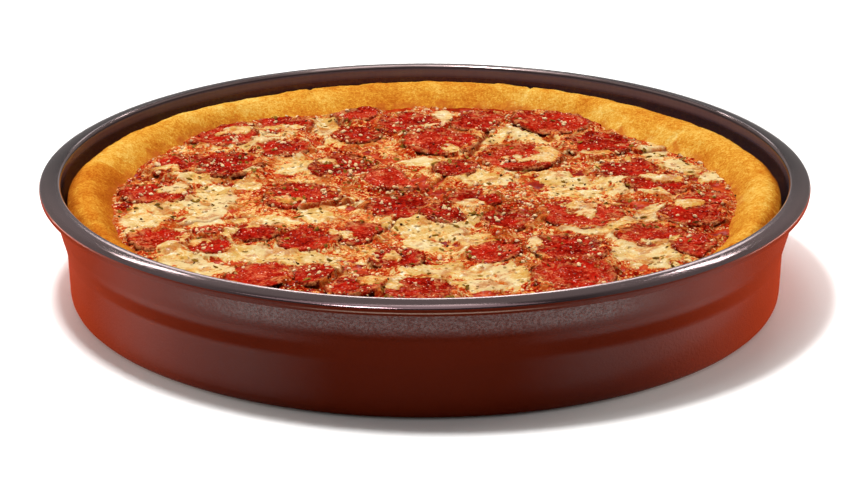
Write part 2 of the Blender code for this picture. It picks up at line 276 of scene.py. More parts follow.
# Heights (m) of the enamel's looks: each starts, is full, fades and ends.
STEP_DULL = (0.0235, 0.026, 0.03, 0.033)
NECK_SHINE = (0.0355, 0.041, 0.0455, 0.0465)
LIP_HIGHLIGHT = (0.049, 0.0493, 0.0495, 0.0498)
# And the same for distances (m) to either side.
SIDES_RUBBED = (0.03, 0.075, 0.105, 0.14)


def nonstick_coat():
    """Dark grey-brown coating, faintly mottled, with painted highlights in front, along the crest and edge
    and atop the inner wall, and painted shade on the roll.
    """
    coat = Recipe("nonstick_coat")
    haze = coat.noise(0.018, 4.0, 0.6)
    grain = coat.noise(0.0011)
    flat = coat.add("ShaderNodeVectorMath", {"operation": "MULTIPLY"}, {0: coat.place, 1: (1.0, 1.0, 0.0)})
    out = coat.add("ShaderNodeVectorMath", {"operation": "LENGTH"}, {0: flat}, "Value")
    front = coat.lift(coat.along("Y"), 0.02, -0.07)
    middle = 1 - coat.lift(abs(coat.along("X")), 0.05, 0.1)
    colour = coat.blend(haze, rgb(50, 35, 36), rgb(75, 59, 59))
    # Painted highlight: the flange is painted paler towards the front.
    colour = coat.blend(0.5 * front, colour, rgb(150, 129, 129))
    # Painted shade: the flange's outer roll is painted darker, most of all in front and behind.
    colour = coat.blend(coat.lift(out, *ROLL_SHADE) * (0.3 + 0.7 * middle), colour, rgb(60, 46, 48))
    colour = coat.blend(coat.lift(out, *WALL_INSIDE), colour, rgb(116, 102, 120))
    # Painted highlight: a pale, less metallic line along the rim's inner crest, brightest and widest in
    # front, and a fainter one at the flange's outer edge.
    crest = coat.lift(out, *CREST_START) * (1 - coat.lift(out - CREST_SPREAD * middle, *CREST_END))
    blotchy = 0.65 + 0.35 * coat.lift(coat.noise(0.03, 3.0), 0.38, 0.55)
    crest_and_edge_highlight = crest * (0.2 + 0.5 * front + 0.05 * middle) * blotchy + 0.4 * coat.lift(out, *EDGE_HIGHLIGHT)
    colour = coat.blend(crest_and_edge_highlight, colour, rgb(226, 202, 199))
    # Painted light: a paler, less metallic band painted along the top of the inner wall.
    wall_top_light = 0.8 * coat.lift(out, *WALL_TOP_LIGHT) * coat.lift(coat.along("Z"), 0.0465, 0.0492)
    colour = coat.blend(wall_top_light, colour, rgb(112, 92, 94))
    metal = 0.85 - 0.8 * crest_and_edge_highlight - 0.8 * wall_top_light
    return coat.finish(colour, 0.09 + 0.06 * haze, grain, 0.000015, Metallic=metal, Specular_IOR_Level=0.2)


def red_enamel():
    """Red-brown enamel with a soft orange-peel grain, shiny under the flange and rubbed at the sides, with
    a painted highlight along the lip in front.
    """
    enamel = Recipe("red_enamel")
    tone = enamel.noise(0.05, 3.0, 0.55)
    grain = enamel.noise(0.0009, 2.0, 0.6, 0.0, (0.7, 0.7, 1.0))
    height, across = enamel.along("Z"), abs(enamel.along("X"))
    shine = enamel.band(height, *NECK_SHINE) * (1 - enamel.lift(across, 0.06, 0.11))
    rubbed = enamel.band(across, *SIDES_RUBBED) * (1 - enamel.band(height, *STEP_DULL))
    lip = enamel.band(height, *LIP_HIGHLIGHT) * (1 - enamel.lift(across, 0.02, 0.06))
    colour = enamel.blend(tone, (0.066, 0.0072, 0.0022, 1.0), (0.08, 0.0095, 0.0032, 1.0))
    # Painted highlight: a thin pale line painted along the lip in front.
    colour = enamel.blend(0.4 * lip, colour, rgb(196, 168, 150))
    pebbled = 0.45 + 0.7 * enamel.lift(grain, 0.36, 0.64)
    return enamel.finish(
        colour, 0.36 + 0.1 * enamel.noise(0.012, 3.0), grain, 0.0002,
        Coat_Weight=0.02 + pebbled * shine + 0.3 * rubbed, Coat_Roughness=0.2,
    )


def make_pan():
    """Spin the section, and part the coated inside from the enamelled outside at the flange's edge."""
    section = rounded_section(PAN_SECTION)
    verts = []
    for turn in range(PAN_TURNS):
        angle = math.tau * turn / PAN_TURNS
        verts += [(r * math.cos(angle), r * math.sin(angle), z) for r, z in section]
    net = np.arange(len(verts)).reshape(PAN_TURNS, -1)
    mesh = close_mesh("pan_shell", verts, net_faces(np.concatenate([net, net[:1]])))
    mesh.materials.append(nonstick_coat())
    mesh.materials.append(red_enamel())
    for face in mesh.polygons:
        out = math.hypot(face.center.x, face.center.y)
        outwards = face.normal.x * face.center.x + face.normal.y * face.center.y > 0
        outside = outwards and face.center.z < FLANGE_UNDERSIDE
        face.material_index = int(out > FLANGE_EDGE or outside or face.normal.z < -0.3)
    return mesh


place_piece(make_pan(), None, "pan", "pan")


# --------------------
# The crust: risen yeast dough pressed into the pan, so it is one ring with a flat base under the
# toppings.  It has sprung away from the wall in places, browned on top and split a little where
# the wheel cut it.

WELL_FLOOR = 37 * MM
TOPPING_LEVEL = 41.5 * MM
CRUST_TOP = 48.6 * MM
CRUST_SHOULDER = 4.5 * MM
CRUST_PEAK = 0.62  # share of the way from the crust's inner foot to its outside
PAN_STEP = 35 * MM  # height of the pan's stacking step, and its radius inside
PAN_STEP_RADIUS = 155.5 * MM
WELL_MARGIN = 3 * MM  # the well lies this far inside the crust's foot
# Radius and height (mm) of the dough below the step, close to the pan.
CRUST_UNDERSIDE = ((147.0, 1.9), (151.2, 6.0), (151.9, 22.5))
# Stations round the pizza: degrees, and a radius or a rise (mm) or a browning.
CRUST_OUTER_RADII = ((0, 152.5), (45, 147.5), (90, 151.0), (135, 148.5), (180, 153.0), (270, 152.5))
CRUST_INNER_RADII = (
    (0, 133.5), (18, 130.0), (40, 122.5), (62, 131.0), (90, 127.5), (112, 122.5), (134, 131.5),
    (160, 130.5), (188, 134.0), (208, 139.0), (222, 141.5), (270, 141.0), (318, 141.5), (332, 138.5),
    (346, 133.5),
)
CRUST_RISE = (
    (0, 0.0), (30, 0.6), (75, -0.4), (105, -0.5), (150, 0.5), (195, 0.0), (216, -3.8), (324, -3.8),
    (345, -0.2),
)
CRUST_BROWNING = (
    (0, 0.41), (35, 0.39), (60, 0.41), (95, 0.46), (130, 0.18), (160, 0.33), (180, 0.66), (230, 0.6),
    (300, 0.4),
)
CRUST_FOOT_BAKE = ((0, 0.2), (40, 0.06), (78, 0.16), (108, 0.42), (200, 0.42), (300, 0.3))
CRUST_TURNS = 840
CUT_AZIMUTHS = (31.0, 70.0, 112.0, 170.0, 201.5, 251.0, 299.0, 347.0)


def ease(value):
    """Ease numbers from 0 to 1."""
    value = np.clip(value, 0.0, 1.0)
    return value * value * (3.0 - 2.0 * value)


def around(azimuth, stations):
    """Read values that ease from one station (degrees, value) to the next round the circle."""
    azimuth = np.asarray(azimuth) % 360.0
    result = np.zeros_like(azimuth, dtype=float)
    for index, (start, low) in enumerate(stations):
        end, high = stations[(index + 1) % len(stations)]
        end = end + 360.0 if end <= start else end
        inside = (azimuth >= start) & (azimuth <= end)
        result = np.where(inside, low + (high - low) * ease((azimuth - start) / (end - start)), result)
    return result


def hills(x, y, size, seed, octaves=3):
    """Random relief from about -1 to 1, with hills `size` across and smaller ones on them."""
    total = np.zeros(np.broadcast(x, y).shape)
    weight = 1.0
    for octave in range(octaves):
        net = np.random.default_rng(seed * 31 + octave).uniform(-1.0, 1.0, (128, 128))
        net = np.pad(net, (0, 1), "wrap")
        turn = 0.6 + 1.1 * octave
        u = (x * math.cos(turn) - y * math.sin(turn)) / size + 400.5
        v = (x * math.sin(turn) + y * math.cos(turn)) / size + 400.5
        i, j = np.floor(u).astype(int), np.floor(v).astype(int)
        f, g = ease(u - i), ease(v - j)
        i, j = i % 128, j % 128
        near = net[i, j] * (1 - f) + net[i + 1, j] * f
        far = net[i, j + 1] * (1 - f) + net[i + 1, j + 1] * f
        total += weight * (near * (1 - g) + far * g)
        size *= 0.5
        weight *= 0.55
    return total


def lumps(x, y, size, seed):
    """Rounded lumps about `size` apart: 1 on top and 0 between."""
    spots = np.random.default_rng(seed).uniform(0.0, 1.0, (64, 64, 2))
    u, v = x / size + 400.0, y / size + 400.0
    i, j = np.floor(u).astype(int), np.floor(v).astype(int)
    best = np.full(u.shape, 9.0)
    for di in (-1, 0, 1):
        for dj in (-1, 0, 1):
            spot = spots[(i + di) % 64, (j + dj) % 64]
            best = np.minimum(best, np.hypot(u - i - di - spot[..., 0], v - j - dj - spot[..., 1]))
    return np.clip(1 - best * best * 1.6, 0.0, 1.0)


def ring_radii(azimuth):
    """The crust's outer and inner radius in each direction."""
    return around(azimuth, CRUST_OUTER_RADII) * MM, around(azimuth, CRUST_INNER_RADII) * MM


def from_cut(azimuth):
    """Degrees from each direction to the nearest cut."""
    return np.min([np.abs((azimuth - cut + 180.0) % 360.0 - 180.0) for cut in CUT_AZIMUTHS], axis=0)


def crust_height(radius, azimuth):
    """Height of the crust's smooth upper side between its outer shoulder and its inner foot."""
    outer, inner = ring_radii(azimuth)
    top = CRUST_TOP + around(azimuth, CRUST_RISE) * MM
    peak = inner + (outer - inner) * CRUST_PEAK
    inward = np.clip((radius - inner) / (peak - inner), 0.0, 1.0)
    outward = np.clip((radius - peak) / (outer - peak), 0.0, 1.0)
    rise = TOPPING_LEVEL + (top - TOPPING_LEVEL) * np.sin(0.5 * math.pi * inward) ** 1.15
    return rise - CRUST_SHOULDER * outward ** 2.4


def crust_rows(azimuth):
    """Radius and height of rows from under the outside, up over the top and down into the well."""
    outer, inner = ring_radii(azimuth)
    beside_step = 0.5 * (PAN_STEP_RADIUS + outer)
    rows = [(radius * MM, height * MM) for radius, height in CRUST_UNDERSIDE]
    rows.append((beside_step, PAN_STEP))
    shoulder = crust_height(outer, azimuth)
    for share in (0.25, 0.5, 0.75, 0.92):
        radius = beside_step + (outer - beside_step) * share ** 0.7
        rows.append((radius, PAN_STEP + (shoulder - PAN_STEP) * share))
    for share in np.linspace(0.0, 1.0, 52):
        radius = outer + (inner - outer) * (share * 0.85 + 0.15 * share ** 2)
        rows.append((radius, crust_height(radius, azimuth)))
    return [*rows, (inner - WELL_MARGIN, WELL_FLOOR)]


def make_crust():
    """Loft the rows, then raise and dent the dough and note where it browned, with painted shade at its
    outer edge.
    """
    azimuth = np.arange(CRUST_TURNS) * 360.0 / CRUST_TURNS
    angle = np.radians(azimuth)
    outer, inner = ring_radii(azimuth)
    foot_bake, browning = around(azimuth, CRUST_FOOT_BAKE), around(azimuth, CRUST_BROWNING)
    places, bake, stain = [], [], []
    for radius, height in crust_rows(azimuth):
        x, y = radius * np.cos(angle), radius * np.sin(angle)
        share = np.clip((radius - inner) / (outer - inner), 0.0, 1.0)
        free = ease((height - PAN_STEP) / (6 * MM))
        nick = np.exp(-(radius * np.radians(from_cut(azimuth)) / (1.1 * MM)) ** 2)
        swell = 0.5 * MM * hills(x, y, 16 * MM, 3, 2) + 0.22 * MM * hills(x, y, 4 * MM, 4)
        grain = 0.12 * MM * lumps(x, y, 1.7 * MM, 5)
        dent = nick * (0.9 * MM + 0.5 * MM * hills(x, y, 6 * MM, 8, 1))
        places.append(np.stack([x, y, height + free * (swell + grain - dent)], 1))
        patch = hills(x, y, 14 * MM, 11, 4)
        crown = 1 - np.abs(share - 0.6) / 0.6
        # Browned at the inner foot; at the outer edge by the pan wall, which lies in shade, the darker
        # browning is painted shade.
        edge = ease(1 - share / 0.5) * foot_bake + ease((share - 0.72) / 0.28) * 0.5
        bake.append(browning + 0.22 * patch + 0.15 * crown - 0.2 * nick + edge)
        stain.append(ease(1 - (radius - inner) / (3.2 * MM) + 0.7 * hills(x, y, 5 * MM, 13, 2)))
    net = np.arange(len(places) * CRUST_TURNS).reshape(-1, CRUST_TURNS)
    faces = net_faces(np.concatenate([net, net[:, :1]], 1)) + net[[0, -1]].tolist()
    marks = {"bake": np.concatenate(bake), "stain": np.concatenate(stain)}
    return close_mesh("dough_crust", np.concatenate(places), faces, **marks)


def baked_dough():
    """Golden baked dough: pale gold to orange-brown in soft patches, with a fine open grain."""
    dough = Recipe("baked_dough")
    fine = dough.noise(0.0008, 3.0, 0.6)
    medium = dough.noise(0.007, 4.0, 0.6)
    speck = dough.noise(0.0017)
    bake = dough.mark("bake") + 0.75 * (medium - 0.5) + 0.9 * (speck - 0.5) + 1.5 * (fine - 0.5)
    colour = dough.ramp(
        dough.lift(bake, -0.6, 1.6), food,
        (0.0, 252, 222, 142), (0.28, 241, 191, 88), (0.5, 229, 160, 52), (0.75, 208, 120, 32),
        (1.0, 172, 78, 18),
    )
    stain = 0.75 * dough.mark("stain") * dough.lift(medium, 0.3, 0.65)
    colour = dough.stain(stain, colour, fine, (176, 60, 22), (214, 120, 46))
    height = 0.55 * fine + 0.45 * speck
    return dough.finish(colour, 0.5 + 0.2 * medium, height, 0.0006)


place_piece(make_crust(), baked_dough(), "crust", "crust")


# --------------------
# The pepperoni: thin round slices of cured sausage laid on the cheese, which cup and crisp at the
# edge in the oven and sweat orange oil.  Each follows the outline and lie of its own node.

SLICE_NET = 38
SIDES = 12  # directions in which a slice's edge is read
SETTLED = 42 * MM  # what stands over this is lowered by a share
SETTLING = 0.5
AT_MIDDLE = 0.1 * MM
BETWEEN_RINGS = 0.8  # share of the reach that parts the inner ring of corners from the outer
INNER_RING = 0.62  # and the share at which the inner ring stands
SHARP_EDGE = math.radians(60.0)


def disc_net(count):
    """A square net, even in count, bowed into a disc: share of the disc's radius, and angle."""
    line = np.linspace(-1.0, 1.0, count)
    a, b = np.meshgrid(line, line)
    wide = np.abs(a) > np.abs(b)
    radius = np.where(wide, a, b)
    turn = np.where(wide, 0.25 * math.pi * b / a, 0.5 * math.pi - 0.25 * math.pi * a / b)
    x, y = radius * np.cos(turn), radius * np.sin(turn)
    return np.hypot(x, y), np.arctan2(y, x)


def net_mesh(name, x, y, z, floor, **marks):
    """A closed body: a net on top, a skirt round it down to `floor`, and a flat underside."""
    net = np.arange(x.size).reshape(x.shape)
    rim = np.concatenate([net[0, :-1], net[:-1, -1], net[-1, :0:-1], net[:0:-1, 0]]).tolist()
    places = np.stack([x, y, z], -1).reshape(-1, 3)
    foot = places[rim]
    foot[:, 2] = np.broadcast_to(floor, x.shape).reshape(-1)[rim]
    faces = net_faces(net)
    start, middle = x.size, x.size + len(rim)
    for k, corner in enumerate(rim):
        after = (k + 1) % len(rim)
        faces.append((corner, start + k, start + after, rim[after]))
        faces.append((start + k, middle, start + after))
    for label, values in marks.items():
        values = np.broadcast_to(values, x.shape).reshape(-1)
        marks[label] = np.concatenate([values, values[rim], [values[rim].mean()]])
    mesh = close_mesh(name, np.concatenate([places, foot, [foot.mean(0)]]), faces, **marks)
    mesh.set_sharp_from_angle(angle=SHARP_EDGE)
    return mesh


def round_read(angle, values):
    """Read values that stand evenly round a circle, smoothly between them."""
    count = len(values)
    u = (angle / math.tau * count) % count
    i = np.floor(u).astype(int)
    f = u - i
    a, b, c, d = (values[(i + k) % count] for k in (-1, 0, 1, 2))
    curve = 2 * b + (c - a) * f + (2 * a - 5 * b + 4 * c - d) * f * f
    return 0.5 * (curve + (3 * b - a - 3 * c + d) * f ** 3)


def read_slice(node):
    """A slice's middle, reach and face heights, from its node's mesh, settled into soft cheese."""
    corners = np.array([corner.co for corner in node.data.vertices])
    _, column = np.unique(np.round(corners[:, :2] * 1e4).astype(int), axis=0, return_inverse=True)
    column = column.reshape(-1)
    used = np.bincount([column[v] for face in node.data.polygons for v in face.vertices])
    middle = corners[column == used.argmax()][:, :2].mean(0)
    away, height = corners[:, :2] - middle, corners[:, 2]
    height = height - SETTLING * np.maximum(height - SETTLED, 0.0)
    out = np.hypot(away[:, 0], away[:, 1])
    side = np.round(np.arctan2(away[:, 1], away[:, 0]) / math.tau * SIDES).astype(int) % SIDES
    inmost = height[out < AT_MIDDLE]
    data = {"middle": middle, "top": inmost.max(), "low": inmost.min()}
    data["reach"] = np.array([out[side == k].max() for k in range(SIDES)])
    bound = BETWEEN_RINGS * data["reach"][side]
    for ring, keep in (("inner", (out > AT_MIDDLE) & (out < bound)), ("outer", out > bound)):
        heights = [height[keep & (side == k)] for k in range(SIDES)]
        data[ring + "_top"] = np.array([part.max() for part in heights])
        data[ring + "_low"] = np.array([part.min() for part in heights])
    return data


def slice_height(data, share, angle, face="top"):
    """Height of a slice's upper or lower face at a share of its reach."""
    inner = round_read(angle, data["inner_" + face]) - data[face]
    outer = round_read(angle, data["outer_" + face]) - data[face]
    near, far = INNER_RING ** 2, 1.0
    bend = (inner / near - outer / far) / (near - far)
    return data[face] + share ** 2 * (inner / near + bend * (share ** 2 - near))


def make_slice(index, data):
    """One slice: its face is grainy, its edge stands up a little and its rim is rounded."""
    share, angle = disc_net(SLICE_NET)
    ragged = 1.0 + 0.05 * hills(np.cos(angle), np.sin(angle), 0.5, 60 + index) - 0.02
    reach = round_read(angle, data["reach"]) * ragged
    x = data["middle"][0] + share * reach * np.cos(angle)
    y = data["middle"][1] + share * reach * np.sin(angle)
    z = slice_height(data, share, angle)
    lip = ease((share - 0.74) / 0.2)
    wave = hills(x, y, 9 * MM, 80 + index, 2)
    z = z + 0.45 * MM * lip * (0.6 + 0.8 * wave) - 0.75 * MM * ease((share - 0.93) / 0.07) ** 2
    z = z + 0.4 * MM * hills(x, y, 4 * MM, 30, 4) + 0.25 * MM * lumps(x, y, 1.9 * MM, 31)
    floor = slice_height(data, share, angle, "low")
    z = np.maximum(z, floor + 0.3 * MM)
    tone = np.random.default_rng(500 + index).uniform(0.0, 1.0)
    return net_mesh(f"pepperoni_slice_{index + 1:02d}", x, y, z, floor, edge=share + 0.05 * wave, tone=tone)


def cured_sausage():
    """Red cured meat: dark lean and paler fat in a coarse grain, with a crisp brown rim and oil."""
    meat = Recipe("cured_sausage")
    broad = meat.noise(0.011)
    coarse = meat.noise(0.0042, 4.0, 0.62, 0.8)
    fine = meat.noise(0.0011, 3.0, 0.7)
    tone, edge = meat.mark("tone"), meat.mark("edge")
    colour = meat.ramp(
        meat.lift(0.45 * coarse + 0.55 * fine, 0.28, 0.74) + 0.3 * (tone - 0.5) + 0.9 * (broad - 0.5), food,
        (0.05, 98, 5, 2), (0.3, 144, 17, 7), (0.6, 178, 36, 18), (0.82, 200, 66, 38), (0.98, 228, 120, 80),
    )
    fresh = meat.lift(meat.noise(0.0085, 2.0, 0.5, 0.6), 0.54, 0.62)
    colour = meat.stain(0.55 * fresh, colour, fine, (176, 10, 5), (214, 36, 20))
    colour = meat.blend(0.5 * meat.spots(0.0024, 0.3, 0.18), colour, food(218, 104, 70))
    crisp = meat.lift(edge + 0.3 * (coarse - 0.5), 0.88, 0.98)
    colour = meat.stain(0.7 * crisp, colour, meat.lift(fine, 0.45, 0.65), (92, 5, 1), (190, 66, 26))
    film = meat.lift(meat.noise(0.0065, 4.0, 0.65, 0.8) + 0.16 * edge, 0.6, 0.74)
    film = film * meat.lift(meat.noise(0.0022, 3.0, 0.6), 0.38, 0.56)
    colour = meat.stain(0.5 * film, colour, fine, (206, 100, 44), (236, 196, 124))
    glint = meat.spots(0.0017, 0.2, 0.11) * meat.lift(meat.noise(0.004), 0.44, 0.56)
    colour = meat.blend(0.75 * glint, colour, rgb(248, 206, 180))
    wet = meat.lift(meat.noise(0.0016, 2.0, 0.55), 0.6, 0.68)
    return meat.finish(
        colour, 0.4 - 0.14 * wet, 0.6 * coarse + 0.4 * fine, 0.001,
        Coat_Weight=0.35 * wet, Coat_Roughness=0.12,
    )


slice_nodes = sorted(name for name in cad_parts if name.startswith("pepperoni_"))
slices = [read_slice(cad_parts[name]) for name in slice_nodes]
meat = cured_sausage()
for index, (node, data) in enumerate(zip(slice_nodes, slices)):
    place_piece(make_slice(index, data), meat, "pepperoni", node)


# --------------------
# The sauce: crushed tomato cooked down thick and glossy, which shows where the cheese has parted
# and along the foot of the crust.

SAUCE_TOP = 40.5 * MM
SAUCE_FLOOR = 37.4 * MM
SAUCE_NET = 210


def well_reach(angle, margin):
    """Distance from the middle to `margin` beyond the crust's inner foot."""
    return around(np.degrees(angle), CRUST_INNER_RADII) * MM + margin


def make_sauce():
    """A pulpy red layer just under the cheese."""
    share, angle = disc_net(SAUCE_NET)
    reach = share * well_reach(angle, 1.2 * MM)
    x, y = reach * np.cos(angle), reach * np.sin(angle)
    z = SAUCE_TOP + 0.35 * MM * hills(x, y, 7 * MM, 21) + 0.3 * MM * lumps(x, y, 3.2 * MM, 22)
    return net_mesh("tomato_sauce", x, y, z, SAUCE_FLOOR, pulp=hills(x, y, 6 * MM, 23))


def cooked_tomato():
    """Deep red sauce, more orange where it is pulpy."""
    tomato = Recipe("cooked_tomato")
    fine = tomato.noise(0.0016, 3.0, 0.6)
    pulp = 0.5 + 0.5 * tomato.mark("pulp")
    colour = tomato.ramp(
        0.55 * fine + 0.45 * pulp, food,
        (0.2, 112, 16, 6), (0.45, 158, 34, 12), (0.62, 192, 60, 22), (0.8, 214, 96, 40),
    )
    return tomato.finish(colour, 0.25 + 0.2 * fine, fine, 0.0005, Coat_Weight=0.15, Coat_Roughness=0.1)


place_piece(make_sauce(), cooked_tomato(), "sauce", "sauce")


# --------------------
# The cheese: shredded mozzarella melted into pools and strings over the sauce.  It is cream where
# it lies thick, orange where oil and sauce came through, toasted in spots, and it has run over
# the edges of many slices and a little way up the crust.

CHEESE_NET = 306
SAUCE_SIDE = 39.9 * MM  # the sheet's underside, unless the sheet dips lower than that
THINNEST_CHEESE = 0.6 * MM
SMEAR_AZIMUTH = 26.0  # the cheese is smeared up the crust in this direction
# Thick cream patches between the slices: x, y, half length, half width (mm), and degrees if turned.
CREAM_PATCHES = (
    (-84, 68, 14, 9), (-57, 59, 9, 9), (-71, 82, 13, 7, 15), (-45, 90, 16, 6, 95), (-31, 107, 9, 5, 20),
    (8, 106, 14, 5, 90), (-104, 21, 16, 6, -20), (-90, 0, 11, 11), (-77, 12, 9, 6, 90),
    (-4, 44, 11, 6, -15), (-116, -28, 20, 10, 80), (-92, -28, 18, 10, 75), (-104, -16, 13, 6, 40),
    (-78, -76, 27, 10), (-97, -82, 11, 7, -30), (-50, -84, 11, 8, -20), (-39, -90, 11, 5, -60),
    (4, -44, 20, 12), (16, -33, 13, 4), (0, -66, 13, 9, 100), (20, -62, 11, 7, 80), (14, -98, 25, 9, -5),
    (37, -100, 16, 6, -70), (22, -112, 15, 7), (32, 76, 13, 5, 65), (48, 77, 14, 5, -35),
    (28, 21, 14, 8, 10), (60, 19, 13, 10, 90), (80, 13, 13, 6, 15), (64, 1, 16, 6, 2), (84, 2, 9, 6),
    (102, 58, 13, 6, 85), (97, -27, 13, 7, 90), (80, -44, 14, 5, 50), (68, -50, 11, 3),
    (80, -57, 10, 5, 90), (90, -79, 17, 13, -20), (-77, -52, 11, 7, 45), (-40, 72, 9, 7, 70),
    (-55, 33, 10, 9), (-45, -28, 9, 8), (112, 36, 12, 9, -50), (126, 24, 10, 6, 60), (-62, -36, 9, 7),
    (-118, -52, 7, 16, 25), (-88, -6, 9, 15, 10), (8, -52, 13, 9), (2, -112, 12, 8), (96, -84, 12, 9),
    (34, -104, 7, 15, 15), (-60, -78, 14, 11), (20, -76, 8, 12), (84, -62, 7, 12, -10),
    (-92, -92, 13, 9, -35), (-58, -90, 12, 6), (-104, -84, 8, 8),
)
# Thinner cheese, yellow and orange with oil, between the cream and the sauce.
MELT_PATCHES = (
    (-80, -14, 14, 20), (-66, -36, 16, 12), (-38, -22, 14, 20), (-28, -72, 9, 20, 10), (-8, -118, 26, 12),
    (6, -70, 14, 14), (20, -18, 12, 9), (75, -12, 18, 9), (94, -62, 10, 10), (116, -8, 11, 10),
    (116, -34, 9, 9), (-60, 40, 22, 13), (-100, 60, 14, 10), (-50, 20, 14, 8), (-20, 60, 12, 14),
    (30, 60, 14, 12), (60, 82, 14, 10, -30), (100, 40, 16, 16), (20, 30, 22, 12), (-118, 8, 12, 8),
    (-60, 100, 14, 8, 20), (18, 112, 16, 7), (-24, -40, 12, 14), (60, -60, 10, 8),
)
# Cheese that has run over slices.
RUN_PATCHES = (
    (48, 43, 11, 7), (54, 55, 9, 5, -30), (104, 13, 10, 6), (96, -2, 7, 5), (66, -20, 11, 7, 10),
    (68, -31, 9, 7), (-68, 72, 9, 6), (-62, 88, 10, 5), (-84, 82, 9, 7), (-113, 27, 9, 5),
    (-101, -50, 5, 10, 10), (-98, -66, 8, 6), (-104, -72, 6, 7), (74, 50, 9, 5), (74, 34, 5, 9),
    (20, -17, 8, 5), (31, -2, 8, 5), (-22, -113, 4, 9), (44, -66, 4, 10), (-44, 40, 7, 4), (-17, 30, 6, 5),
    (112, -19, 6, 5, 30), (104, -46, 6, 3), (90, 44, 3, 9), (-75, 25, 6, 7), (-60, -11, 8, 5),
    (3, 92, 5, 4), (12, 60, 5, 9, 20), (98, -66, 7, 5), (-34, -58, 6, 8), (-107, 2, 9, 13),
    (-14, -84, 9, 5, 60), (-80, -100, 5, 7), (-14, -116, 5, 9),
)
# Places where the cheese is thin and the sauce shows red.
RED_PATCHES = (
    (-34, 44, 9, 26, 15), (38, -22, 13, 20), (112, -48, 14, 13), (-128, -2, 5, 30), (84, 64, 9, 20, 25),
    (30, 44, 8, 16), (-8, -12, 12, 18), (-108, 48, 16, 10), (-58, -52, 20, 9), (-66, -8, 20, 10),
    (12, 92, 14, 14), (34, -70, 8, 20), (-44, -116, 20, 7), (64, -102, 20, 10), (122, -22, 7, 20),
    (-24, 84, 14, 14), (-12, 8, 14, 16), (60, 98, 20, 14), (116, 6, 10, 8),
)


def inside_patches(x, y, patches):
    """How far inside the nearest patch each place lies: 1 at its middle, 0 on its edge."""
    best = np.full(x.shape, -9.0)
    for at_x, at_y, long, short, *turned in patches:
        turn = math.radians(sum(turned))
        c, s = math.cos(turn), math.sin(turn)
        away_x, away_y = x - at_x * MM, y - at_y * MM
        u = (away_x * c + away_y * s) / (long * MM)
        v = (away_y * c - away_x * s) / (short * MM)
        best = np.maximum(best, 1 - np.hypot(u, v))
    return best


def slices_at(x, y):
    """Height of the highest slice at each place, its share of the reach, and the nearest edge's lean."""
    top = np.full(x.shape, -1.0)
    share = np.full(x.shape, 9.0)
    lean = np.full(x.shape, -1.0)
    for data in slices:
        away_x, away_y = x - data["middle"][0], y - data["middle"][1]
        distance = np.hypot(away_x, away_y)
        close = distance < 2.0 * data["reach"].max()
        angle = np.arctan2(away_y[close], away_x[close])
        part = distance[close] / round_read(angle, data["reach"])
        height = np.where(part <= 1.0, slice_height(data, np.minimum(part, 1.0), angle), -1.0)
        top[close] = np.maximum(top[close], height)
        share[close] = np.minimum(share[close], part)
        away = np.maximum(part - 1.0, 0.0) * data["reach"].mean()
        edge = slice_height(data, np.ones_like(part), angle) - 0.2 * away
        lean[close] = np.maximum(lean[close], np.where(part > 1.0, edge, -1.0))
    return top, share, lean


def cheese_cover(x, y, share):
    """Where cheese lies thick, thin, run over slices and in scraps on them, and how its edges fray."""
    fray = 0.32 * hills(x, y, 7 * MM, 41) + 0.24 * hills(x, y, 2.6 * MM, 42, 2)
    cream = ease((inside_patches(x, y, CREAM_PATCHES) + fray + 0.16) / 0.42)
    melt = ease((inside_patches(x, y, MELT_PATCHES) + fray + 0.2) / 0.5)
    run = ease((inside_patches(x, y, RUN_PATCHES) + 1.5 * fray + 0.04) / 0.4)
    scraps = ease((hills(x, y, 5.5 * MM, 43) + 0.9 * (np.minimum(share, 1.0) - 0.8) - 0.22) / 0.3)
    return cream, melt, run, scraps, fray


def cut_relief(x, y, radius, azimuth):
    """Where the wheel parted the cheese, and where it pushed up a low ridge beside its cut."""
    beside = radius * np.radians(from_cut(azimuth + 1.6 * hills(x, y, 14 * MM, 52, 2)))
    parted = ease((hills(x, y, 22 * MM, 49, 1) + 0.3) / 0.4)
    seam = np.exp(-(beside / (1 * MM)) ** 2) * parted
    crest = np.exp(-((beside - 3 * MM) / (1.5 * MM)) ** 2) * parted
    return seam, crest * ease(hills(x, y, 11 * MM, 53, 2) + 0.5)


def up_the_crust(z, thickness, radius, azimuth):
    """The cheese's height with its last stretch up the crust."""
    inner = ring_radii(azimuth)[1]
    bank = crust_height(np.maximum(radius, inner), azimuth)
    climb = ease((radius - inner + 5 * MM) / (5.5 * MM))
    return z * (1 - climb) + climb * np.minimum(z, bank + thickness)


